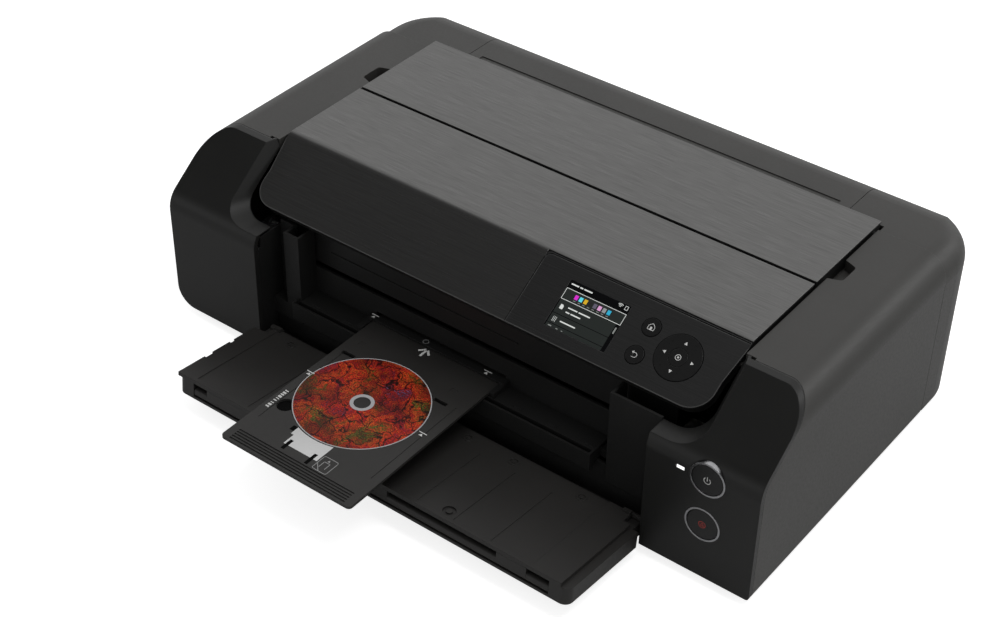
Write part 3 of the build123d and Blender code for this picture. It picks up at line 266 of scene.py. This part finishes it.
# Materials of the printer
SHELL = plastic("shell_plastic", (0.034, 0.033, 0.031), 0.42, 0.32, depth=0.03)
COVER = plastic("cover_plastic", (0.013, 0.013, 0.0125), 0.36, 0.22, depth=0.015, bevel=1.2)
INNER = plastic("inner_plastic", (0.010, 0.010, 0.0098), 0.5, 0.25, depth=0.05)
TRAY = plastic("tray_plastic", (0.022, 0.021, 0.020), 0.42, 0.28, depth=0.05)
KEY = plastic("key_plastic", (0.012, 0.012, 0.012), 0.3, 0.25, depth=0.01, bevel=0.6)
SCREEN = plastic("screen_glass", (0.004, 0.004, 0.0045), 0.08, 0.3, depth=0.0, bevel=0.2)
BRUSHED = brushed("brushed_deck", (0.125, 0.124, 0.122), 0.31, 0.88)
PANEL = brushed("brushed_panel", (0.085, 0.085, 0.085), 0.31, 0.85)
CHROME = metal("bright_ring_metal", (0.34, 0.34, 0.35), 0.18)
STEEL = metal("plated_steel", (0.42, 0.42, 0.43), 0.36)
SHAFT = metal("ground_shaft", (0.6, 0.6, 0.6), 0.14, streak=(0.02, 1, 1))
MOTOR = metal("motor_can", (0.5, 0.5, 0.5), 0.3)
RUBBER = plastic("black_rubber", (0.02, 0.02, 0.02), 0.75, 0.2, depth=0.08)
ACETAL = plastic("natural_acetal", (0.62, 0.61, 0.57), 0.4, 0.4)
WHITE_PART = plastic("white_plastic", (0.6, 0.6, 0.6), 0.4, 0.4)
TANK = plastic("ink_tank_plastic", (0.05, 0.05, 0.055), 0.28, 0.45)
FELT = plastic("pad_felt", (0.6, 0.59, 0.56), 0.95, 0.1, grain=2.0, depth=0.4)
BOARD = plastic("circuit_board", (0.012, 0.09, 0.035), 0.35, 0.4)
LENS_MAT = glow("light_lens", (1.0, 1.0, 1.0), 1.3)
DISC = disc_print("disc_face", (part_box("disc")[0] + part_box("disc")[1]) / 2)
WHITE_MARK = plastic("white_print", (0.62, 0.62, 0.61), 0.5, 0.2, depth=0.005, bevel=0.02)
GREY_MARK = plastic("grey_print", (0.30, 0.30, 0.30), 0.5, 0.2, depth=0.005, bevel=0.02)
RED_MARK = plastic("red_print", (0.42, 0.05, 0.04), 0.5, 0.2, depth=0.005, bevel=0.02)
LABEL = plastic("white_label", (0.60, 0.60, 0.60), 0.55, 0.15, depth=0.01, bevel=0.05)
SCREEN_ROW = glow("screen_row", (0.012, 0.015, 0.0135), 1.0)
SCREEN_LIGHT = glow("screen_light", (0.62, 0.64, 0.62), 1.0)
SCREEN_GREY = glow("screen_grey", (0.20, 0.21, 0.20), 1.0)
# Black for the seams, and also painted shade on the floors of the tray's hollows
SEAM_AND_SHADE = plastic("black_seam_and_shade", (0.002, 0.002, 0.002), 0.7, 0.05, depth=0.005, bevel=0.02)
# Pale grey for strokes that paint the highlight on rounded edges
EDGE_HIGHLIGHT = plastic("painted_edge_highlight", (0.085, 0.085, 0.084), 0.4, 0.3, depth=0.005, bevel=0.02)
INK_COLORS = ((0.62, 0.02, 0.55), (0.10, 0.60, 0.70), (0.60, 0.36, 0.01), (0.012, 0.012, 0.012),
              (0.10, 0.09, 0.13), (0.62, 0.30, 0.55), (0.25, 0.26, 0.27), (0.02, 0.36, 0.55))
INK_TILES = [glow("ink_tile_" + str(i + 1), color, 1.0) for i, color in enumerate(INK_COLORS)]

FINISH = {
    SHELL: ("left_side_panel", "right_side_panel", "rear_housing", "rear_tray_cover"),
    COVER: ("left_front_cover", "right_front_cover"),
    PANEL: ("control_panel",),
    INNER: ("deck_frame", "lid_frame", "left_mouth_wall", "right_mouth_wall", "exit_panel",
            "inner_cover", "exit_floor", "base_pan", "platen", "star_wheel_holder",
            "print_carriage", "print_head", "maintenance_station", "power_supply", "mains_inlet",
            "paper_chute", "roller_brackets"),
    TRAY: ("output_tray", "tray_extension", "disc_tray", "paper_support", "left_paper_guide",
           "right_paper_guide"),
    KEY: ("home_button", "back_button", "dpad_ring", "ok_button", "power_button", "stop_button"),
    SCREEN: ("display",),
    BRUSHED: ("deck_panel", "lid_panel"),
    CHROME: ("button_rings",),
    STEEL: ("side_frames", "carriage_rail", "screws"),
    SHAFT: ("guide_shaft",),
    MOTOR: ("motors",),
    RUBBER: ("feed_roller", "discharge_roller", "pinch_rollers", "feed_belt", "carriage_belt",
             "feet"),
    ACETAL: ("drive_pulley", "idler_pulley", "feed_motor_pulley"),
    WHITE_PART: ("star_wheels",),
    TANK: ("ink_tanks",),
    FELT: ("waste_ink_pad",),
    BOARD: ("logic_board",),
    LENS_MAT: ("power_light",),
    DISC: ("disc",),
}
for mat, names in FINISH.items():
    for name in names:
        slots = nodes[name].material_slots
        if not slots:
            nodes[name].data.materials.append(mat)
        for slot in slots:
            slot.material = mat
        nodes[name].data.set_sharp_from_angle(angle=math.radians(30))


# Thin printed shapes, each a closed plate
def flat(origin, across, up):
    """Frame of a surface: its origin and unit directions across, up and out."""
    u = Vector(across).normalized()
    v = Vector(up).normalized()
    return Vector(origin), u, v, u.cross(v)


def arc_points(cu, cv, radius, start, end, steps=24):
    angles = [math.radians(start + (end - start) * i / steps) for i in range(steps + 1)]
    return [(cu + radius * math.cos(a), cv + radius * math.sin(a)) for a in angles]


def stroke_arc(cu, cv, radius, width, start=0, end=360, steps=32):
    """Curved stroke as quads, each a list of corners."""
    outer = arc_points(cu, cv, radius + width / 2, start, end, steps)
    inner = arc_points(cu, cv, radius - width / 2, start, end, steps)
    return [[outer[i], outer[i + 1], inner[i + 1], inner[i]] for i in range(steps)]


def stroke(points, width):
    """Straight strokes from point to point."""
    quads = []
    for (u0, v0), (u1, v1) in zip(points, points[1:]):
        length = math.hypot(u1 - u0, v1 - v0)
        nu, nv = -(v1 - v0) / length * width / 2, (u1 - u0) / length * width / 2
        tu, tv = (u1 - u0) / length * width / 2, (v1 - v0) / length * width / 2
        quads.append([(u0 + nu - tu, v0 + nv - tv), (u0 - nu - tu, v0 - nv - tv),
                      (u1 - nu + tu, v1 - nv + tv), (u1 + nu + tu, v1 + nv + tv)])
    return quads


def bar(u0, v0, u1, v1):
    return [(u0, v0), (u1, v0), (u1, v1), (u0, v1)]


def outline(u0, v0, u1, v1, width):
    """Four straight strokes round a box."""
    sides = (((u0, v0), (u1, v0)), ((u0, v1), (u1, v1)), ((u0, v0), (u0, v1)), ((u1, v0), (u1, v1)))
    return [quad for ends in sides for quad in stroke(ends, width)]


def printed(name, layers, frame_of, body, lift=0.02, thick=0.03):
    """One piece of flat shapes in millimetres on a surface, each layer with its material."""
    origin, u, v, out = frame_of
    mesh = bpy.data.meshes.new(name)
    bm = bmesh.new()
    for level, (mat, shapes) in enumerate(layers):
        mesh.materials.append(mat)
        rise = lift + level * thick
        for shape in shapes:
            low = [bm.verts.new(origin + (u * a + v * b + out * rise) * MM) for a, b in shape]
            high = [bm.verts.new(p.co + out * thick * MM) for p in low]
            faces = [bm.faces.new(high), bm.faces.new(reversed(low))]
            for i in range(len(shape)):
                j = (i + 1) % len(shape)
                faces.append(bm.faces.new((low[i], low[j], high[j], high[i])))
            for face in faces:
                face.material_index = level
    bmesh.ops.recalc_face_normals(bm, faces=bm.faces)
    bm.to_mesh(mesh)
    bm.free()
    piece = bpy.data.objects.new(name, mesh)
    scene.collection.objects.link(piece)
    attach(piece, body)


def moved(shapes, du, dv):
    return [[(a + du, b + dv) for a, b in shape] for shape in shapes]


def disc_shape(cu, cv, radius):
    return [arc_points(cu, cv, radius, 0, 360)[:-1]]


# Marks on the sloping panel, placed across it and up the slope from its lip
SLOPE = math.radians(32.1)
LIP_Y, LIP_Z = 30.6, 135.2
slope_frame = flat(at(0, LIP_Y, LIP_Z), (1, 0, 0), (0, math.cos(SLOPE), math.sin(SLOPE)))
KEY_PRINT = 0.5 + 0.01
HOME_X, HOME_S = 166, 49
BACK_X, BACK_S = 165.6, 22
DIAL_X, DIAL_S, DIAL_R = 200, 35.3, 13.4
KEY_SEAM_R, DIAL_SEAM_R = 8.45, 20.95
TILE_PITCH = 4.7

row_shapes = [bar(81.2, 39.4, 140.2, 49.2), bar(81.2, 25.8, 137.2, 38.8),
              bar(81.2, 16.4, 137.2, 25.2), bar(81.2, 12.6, 137.2, 15.8)]
frame_lines = outline(80.9, 39.2, 140.6, 49.5, 0.45)
status = [bar(82.4, 53.6, 90.0, 54.8), bar(91.2, 53.6, 94.2, 54.8), bar(95.4, 53.6, 103.6, 54.8)]
signal = []
for radius in (1.3, 2.5, 3.7):
    signal += stroke_arc(131.6, 52.8, radius, 0.5, 50, 130, 8)
battery = outline(136.4, 52.9, 139.0, 56.3, 0.4)
page = [[(84.2, 30.4), (87.4, 30.4), (87.4, 33.2), (86.4, 34.6), (84.2, 34.6)]]
sliders = [quad for k in range(3)
           for quad in stroke([(84.4 + 1.4 * k, 18.2), (84.4 + 1.4 * k, 22.6)], 0.35)]
words = [bar(91.6, 33.4, 101.0, 34.5), bar(102.2, 33.4, 113.6, 34.5), bar(91.6, 29.2, 95.4, 30.3),
         bar(96.6, 29.2, 106.4, 30.3), bar(91.6, 20.0, 106.8, 21.1)]
tile_starts = [TILE_PITCH * k for k in range(len(INK_TILES))]
ticks = [bar(91.9 + along, 40.9, 94.3 + along, 41.5) for along in tile_starts]
faint = [bar(83.6, 13.2, 87.0, 14.2), bar(91.6, 13.0, 93.6, 13.8), bar(97.0, 13.0, 98.6, 13.6),
         bar(138.2, 30.0, 139.6, 36.0)]
layers = [(SCREEN_ROW, row_shapes),
          (SCREEN_LIGHT, frame_lines + status + signal + battery + page + sliders + words),
          (SCREEN_GREY, ticks + faint)]
for along, mat in zip(tile_starts, INK_TILES):
    layers.append((mat, [bar(91.5 + along, 42.7, 94.8 + along, 46.9)]))
printed("screen_picture", layers, slope_frame, "root", 0.01, 0.006)

house = (stroke([(-2.9, -2.6), (-2.9, 0.9), (0, 3.4), (2.9, 0.9), (2.9, -2.6), (-2.9, -2.6)], 0.5)
         + [bar(-0.9, -2.4, 0.9, 0.2)])
printed("home_mark", [(WHITE_MARK, moved(house, HOME_X, HOME_S))], slope_frame, "home_button",
        KEY_PRINT)
turn_back = (stroke_arc(0.2, -0.4, 2.1, 0.5, -90, 90, 12) + stroke([(-1.8, 1.7), (0.2, 1.7)], 0.5)
             + stroke([(-1.6, -2.5), (0.2, -2.5)], 0.5) + [[(-3.4, 1.7), (-1.5, 0.3), (-1.5, 3.1)]])
printed("back_mark", [(WHITE_MARK, moved(turn_back, BACK_X, BACK_S))], slope_frame, "back_button",
        KEY_PRINT)
arrow = [(-1.5, -1.3), (1.5, -1.3), (0, 1.5)]
ways = [arrow, [(b, -a) for a, b in arrow], [(-a, -b) for a, b in arrow],
        [(-b, a) for a, b in arrow]]
way_marks = [[(a + DIAL_X + DIAL_R * cu, b + DIAL_S + DIAL_R * cv) for a, b in shape]
             for shape, (cu, cv) in zip(ways, ((0, 1), (1, 0), (0, -1), (-1, 0)))]
printed("way_marks", [(WHITE_MARK, way_marks)], slope_frame, "dpad_ring",
        KEY_PRINT)
printed("centre_mark", [(WHITE_MARK, stroke_arc(DIAL_X, DIAL_S, 2.4, 0.5)
                         + disc_shape(DIAL_X, DIAL_S, 0.9))], slope_frame, "ok_button",
        KEY_PRINT)

# Seams round the keys and the control panel; the pale strokes along the slope's rounded edge and
# beside the panel seam are a painted highlight
SEAM_X, SEAM_TOP, SEAM_R, PANEL_END = 46.6, 71.2, 7.0, 247.0
SLOPE_HALF, LIP_R, TAPER_LOW, TAPER_HIGH, TAPER_HIGH_X = 243.5, 22.0, 32.0, 66.0, 248.4
key_rings = []
for ring_x, ring_s, ring_r in ((HOME_X, HOME_S, KEY_SEAM_R), (BACK_X, BACK_S, KEY_SEAM_R),
                               (DIAL_X, DIAL_S, DIAL_SEAM_R)):
    key_rings += stroke_arc(ring_x, ring_s, ring_r, 0.6, steps=48)
corner = arc_points(SEAM_X + SEAM_R, SEAM_TOP - SEAM_R, SEAM_R, 180, 90, 10)
seam_line = [(SEAM_X, 1.0)] + corner + [(PANEL_END, SEAM_TOP)]
# Painted highlight beside the panel seam, and along the slope's rounded lip and sides
seam_highlight_line = [(a + 0.7, b) for a, b in seam_line[:-6]] + [(a, b - 0.75) for a, b in seam_line[-6:]]
side_corner = arc_points(SLOPE_HALF - LIP_R, LIP_R, LIP_R - 0.45, 270, 360, 14)
right_edge = side_corner + [(SLOPE_HALF - 0.45, TAPER_LOW), (TAPER_HIGH_X - 0.45, TAPER_HIGH)]
left_edge = [(-a, b) for a, b in reversed(right_edge)]
printed("panel_seams_and_highlight", [(SEAM_AND_SHADE, key_rings + stroke(seam_line, 0.8)),
                        (EDGE_HIGHLIGHT, stroke(seam_highlight_line, 0.35) + stroke(left_edge + right_edge, 0.5))],
        slope_frame, "root", 0.01, 0.02)

# Marks on the round front buttons
front_frame = flat(at(0, -0.2, 0), (1, 0, 0), (0, 0, 1))
POWER_AT, STOP_AT = (271, 104.0), (270.5, 56.4)
power = stroke_arc(0, 0, 3.0, 0.6, 125, 415, 28) + stroke([(0, -0.2), (0, 3.6)], 0.6)
printed("power_mark", [(WHITE_MARK, moved(power, *POWER_AT))], front_frame, "power_button",
        0.01)
halt = (stroke_arc(0, 0, 3.1, 0.5)
        + stroke([(-1.6, -1.2), (1.6, -1.2), (0, 1.8), (-1.6, -1.2)], 0.45))
printed("stop_mark", [(RED_MARK, moved(halt, *STOP_AT))], front_frame, "stop_button",
        0.01)

# Marks on the disc tray and on its guide, at the heights of the tray's and the guide's tops
TRAY_TOP, GUIDE_TOP = 57.8, 60.5
tray_frame = flat(at(0, 0, TRAY_TOP), (1, 0, 0), (0, 1, 0))
guide_frame = flat(at(0, 0, GUIDE_TOP), (1, 0, 0), (0, 1, 0))
limit = [[(-2.0, -2.6), (2.0, -2.6), (0, 0.4)], bar(-4.2, 1.0, 4.2, 1.9)]
in_arrow = (stroke([(0, -6.5), (0, 3.2)], 2.2) + stroke([(-5.2, -1.6), (0, 3.8)], 2.2)
            + stroke([(5.2, -1.6), (0, 3.8)], 2.2))
pitches = (1.6, 1.2, 2.2, 1.4, 1.0, 2.6, 1.2, 1.8, 1.0, 1.4, 2.4, 1.2, 1.6, 1.0, 2.0, 1.4, 1.2, 1.6)
stripes = []
start = -110.0
for k, pitch in enumerate(pitches):
    if k % 2 == 0:
        stripes.append(bar(-101.2, start, -97.6, start + pitch))
    start += pitch
DISC_X, DISC_Y, LABEL_R = -38.9, -55.7, 61.4
label_top = arc_points(DISC_X, DISC_Y, LABEL_R, 288, 250, 12)
label = [label_top + [(-59.8, -123), (-56.6, -123), (-56.6, -135.6), (-19.8, -135.6),
                      (-19.8, -118)]]
BADGE_U, BADGE_V, BADGE_R = (-18.2, -3.2), (-143.6, -126.4), 1.8
badge = []
for low_v in BADGE_V:
    badge += stroke([(BADGE_U[0] + BADGE_R, low_v), (BADGE_U[1] - BADGE_R, low_v)], 0.6)
for low_u in BADGE_U:
    badge += stroke([(low_u, BADGE_V[0] + BADGE_R), (low_u, BADGE_V[1] - BADGE_R)], 0.6)
for cu, cv, begin in ((BADGE_U[1] - BADGE_R, BADGE_V[1] - BADGE_R, 0),
                      (BADGE_U[0] + BADGE_R, BADGE_V[1] - BADGE_R, 90),
                      (BADGE_U[0] + BADGE_R, BADGE_V[0] + BADGE_R, 180),
                      (BADGE_U[1] - BADGE_R, BADGE_V[0] + BADGE_R, 270)):
    badge += stroke_arc(cu, cv, BADGE_R, 0.6, begin, begin + 90, 6)
badge += stroke([(-17.8, -136.5), (-11.6, -143.2)], 0.6) + stroke([(-14, -139), (-14, -132)], 0.6)
badge += stroke([(-14, -132), (-8, -132)], 0.6) + stroke([(-8, -132), (-8, -139)], 0.6)
badge += [[(-12.4, -130.6), (-9.6, -130.6), (-11.0, -128.2)]]
arms = [bar(-54.6, -141.5, -51.2, -128.6), bar(-27.0, -143.5, -23.6, -129.4),
        bar(-64.6, -119.6, -60.0, -113.6)]
printed("tray_marks", [(GREY_MARK, badge),
                       (WHITE_MARK, moved(in_arrow, -40.2, 31.2) + moved(limit, -100.4, -54)
                        + moved(limit, 27.2, -55.6) + stripes)],
        tray_frame, "disc_tray")
printed("tray_label", [(LABEL, label), (SEAM_AND_SHADE, arms)], tray_frame, "disc_tray")
# Black plates on the floors of the disc notch and the latch slots: painted shade for the dark below
# the holes
HOLLOW_FLOOR = 55.9
hollow_frame = flat(at(0, 0, HOLLOW_FLOOR), (1, 0, 0), (0, 1, 0))
hollow_shade_plates = disc_shape(-87.9, -98.7, 7.8) + [bar(-97.7, -15.5, -84.1, -11.9),
                                           bar(6.3, -15.5, 19.9, -11.9)]
printed("tray_hollow_painted_shade", [(SEAM_AND_SHADE, hollow_shade_plates)], hollow_frame, "disc_tray", 0.01)
printed("guide_marks", [(WHITE_MARK, moved(limit, -106.2, 40) + moved(limit, 22.4, 40)),
                        (GREY_MARK, stroke_arc(-46.3, 40, 2.6, 0.5))],
        guide_frame, "root")


# Camera at the photograph's place
CAMERA_AT = (0.806098, -1.098133, 1.143697)
AZIMUTH, ELEVATION, ROLL = (math.radians(a) for a in (36.836, 37.777, 0.9775))
LENS = 69.359
level = Vector((math.cos(AZIMUTH), math.sin(AZIMUTH), 0))
forward = Vector((-math.sin(AZIMUTH) * math.cos(ELEVATION),
                  math.cos(AZIMUTH) * math.cos(ELEVATION), -math.sin(ELEVATION)))
right = math.cos(ROLL) * level + math.sin(ROLL) * level.cross(forward)
up = right.cross(forward)
camera = bpy.data.objects.new("camera", bpy.data.cameras.new("camera"))
camera.data.lens = LENS
camera.data.sensor_width = 36
camera.data.clip_end = 100
camera.matrix_world = Matrix((right, up, -forward)).transposed().to_4x4()
camera.location = CAMERA_AT
scene.collection.objects.link(camera)
scene.camera = camera


# Studio: white for the camera, dark above the front for gloss, soft lamps
WORLD_LIGHT = 0.5
GLOSS_DARK = 0.04
world = bpy.data.worlds.new("studio")
world.use_nodes = True
wtree = world.node_tree
wtree.nodes.clear()
way = wtree.nodes.new("ShaderNodeTexCoord")
split = wtree.nodes.new("ShaderNodeSeparateXYZ")
wtree.links.new(way.outputs["Generated"], split.inputs[0])
backward = spread(wtree, split.outputs["Y"], GLOSS_DARK, 1.0, 0.05, 0.45)
level_band = spread(wtree, split.outputs["Z"], 1.0, GLOSS_DARK, 0.22, 0.5)
bright = node(wtree, "ShaderNodeMath", operation="MAXIMUM")
wtree.links.new(backward, bright.inputs[0])
wtree.links.new(level_band, bright.inputs[1])
path = wtree.nodes.new("ShaderNodeLightPath")


def chosen(tree, share, first, second):
    """First number where the share is 0, second where it is 1; each a socket or a number."""
    mix = node(tree, "ShaderNodeMix", data_type="FLOAT")
    tree.links.new(share, mix.inputs["Factor"])
    for socket, value in zip((mix.inputs["A"], mix.inputs["B"]), (first, second)):
        if isinstance(value, float):
            socket.default_value = value
        else:
            tree.links.new(value, socket)
    return mix.outputs["Result"]


glossy = chosen(wtree, path.outputs["Is Glossy Ray"], WORLD_LIGHT, bright.outputs[0])
clear = chosen(wtree, path.outputs["Is Transmission Ray"], glossy, 1.0)
seen = chosen(wtree, path.outputs["Is Camera Ray"], clear, 1.0)
surround = wtree.nodes.new("ShaderNodeBackground")
surround.inputs["Color"].default_value = (1, 1, 1, 1)
wtree.links.new(seen, surround.inputs["Strength"])
wtree.links.new(surround.outputs[0], wtree.nodes.new("ShaderNodeOutputWorld").inputs[0])
scene.world = world


def lamp(name, place, target, size, watts):
    data = bpy.data.lights.new(name, "AREA")
    data.shape = "RECTANGLE"
    data.size, data.size_y = size
    data.energy = watts
    made = bpy.data.objects.new(name, data)
    made.location = place
    aim = Vector(target) - Vector(place)
    made.rotation_euler = aim.to_track_quat("-Z", "Y").to_euler()
    scene.collection.objects.link(made)


lamp("key_lamp", (0.8, 0.0, 2.6), (0, 0, 0.1), (1.2, 1.2), 24)
lamp("back_lamp", (1.5, 2.0, 1.5), (0, 0, 0.1), (1.4, 0.8), 9)

floor_mesh = bpy.data.meshes.new("floor")
FLOOR_HALF = 12.0
floor_mesh.from_pydata([(-FLOOR_HALF, -FLOOR_HALF, 0), (FLOOR_HALF, -FLOOR_HALF, 0),
                        (FLOOR_HALF, FLOOR_HALF, 0), (-FLOOR_HALF, FLOOR_HALF, 0)], [],
                       [(0, 1, 2, 3)])
floor = bpy.data.objects.new("floor", floor_mesh)
floor_mat, ftree, fshader = new_material("pale_floor")
fshader.inputs["Roughness"].default_value = 0.9
fshader.inputs["Specular IOR Level"].default_value = 0.1
ftree.links.new(two_tone(ftree, noise(ftree, object_coords(ftree), 3.0), (0.60, 0.60, 0.60),
                         (0.64, 0.64, 0.64)), fshader.inputs["Base Color"])
fpath = ftree.nodes.new("ShaderNodeLightPath")
fshader.inputs["Emission Color"].default_value = (1, 1, 1, 1)
ftree.links.new(chosen(ftree, fpath.outputs["Is Camera Ray"], 0.0, 0.8),
                fshader.inputs["Emission Strength"])
floor_mesh.materials.append(floor_mat)
scene.collection.objects.link(floor)

scene.view_settings.view_transform = "Standard"
